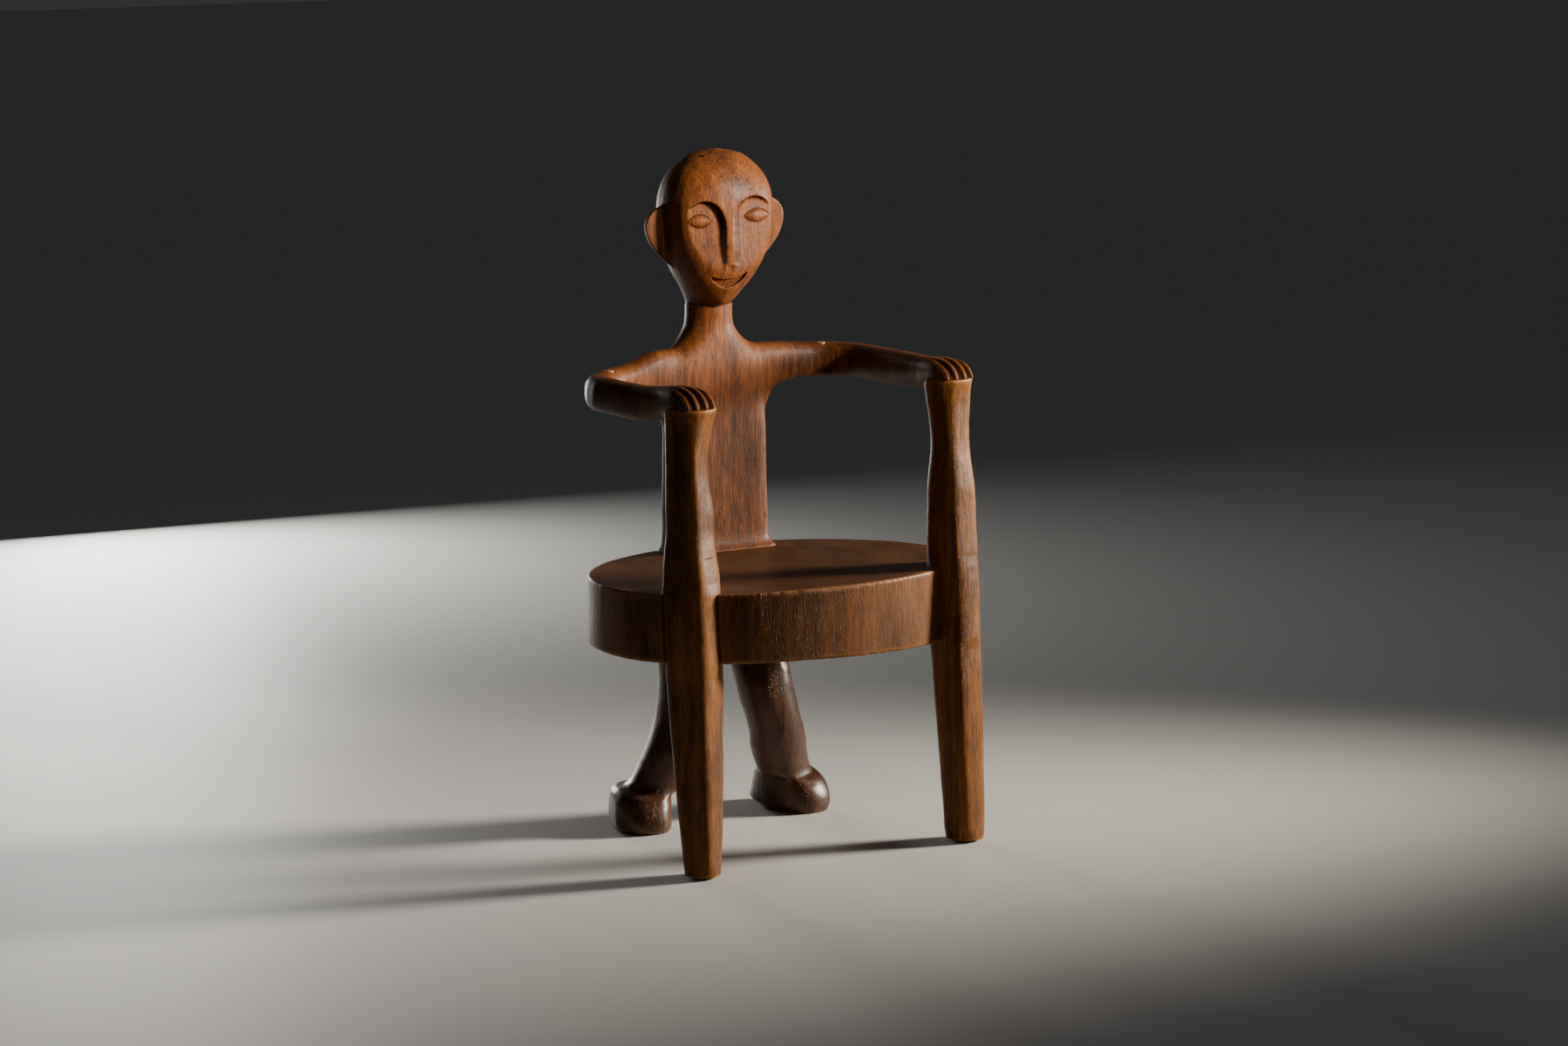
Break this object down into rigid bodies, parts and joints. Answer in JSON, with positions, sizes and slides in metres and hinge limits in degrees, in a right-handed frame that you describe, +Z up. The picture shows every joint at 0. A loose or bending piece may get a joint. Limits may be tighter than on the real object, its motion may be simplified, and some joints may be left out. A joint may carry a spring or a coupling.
{
  "type": "carved figural armchair",
  "caption": "Carved hardwood armchair shaped as a seated figure, whose arms and hands rest on two front posts and whose legs carry the back of a thick oval seat",
  "frame": {"origin": "on the floor, under the middle of the chair's outline seen from above", "axes": "+X towards the figure's left, +Y towards the back of the chair, +Z up; the figure faces -Y"},
  "size_m": [0.596, 0.4575, 1],
  "materials": {
    "seat_wood": "waxed dark brown hardwood, satin",
    "red_wood": "waxed red-brown hardwood, satin",
    "post_wood": "waxed honey-brown hardwood, satin",
    "leg_wood": "waxed dark red-brown hardwood, satin",
    "dowel_wood": "bare pale wood",
    "glide_pad": "dark felt-like pad"
  },
  "bodies": {
    "root": {"seat": "seat_wood", "torso": "red_wood", "head": "red_wood", "arm_right": "red_wood", "arm_left": "red_wood", "front_post_right": "post_wood", "front_post_left": "post_wood", "hind_leg_right": "leg_wood", "hind_leg_left": "leg_wood", "neck_dowel": "dowel_wood", "elbow_dowel_right": "dowel_wood", "elbow_dowel_left": "dowel_wood", "elbow_peg_right": "dowel_wood", "elbow_peg_left": "dowel_wood", "hand_dowel_right": "dowel_wood", "hand_dowel_left": "dowel_wood", "post_dowels_right": "dowel_wood", "post_dowels_left": "dowel_wood", "back_pins": "dowel_wood", "leg_pin_right": "dowel_wood", "leg_pin_left": "dowel_wood", "glide_right": "glide_pad", "glide_left": "glide_pad"}
  },
  "joints": []
}
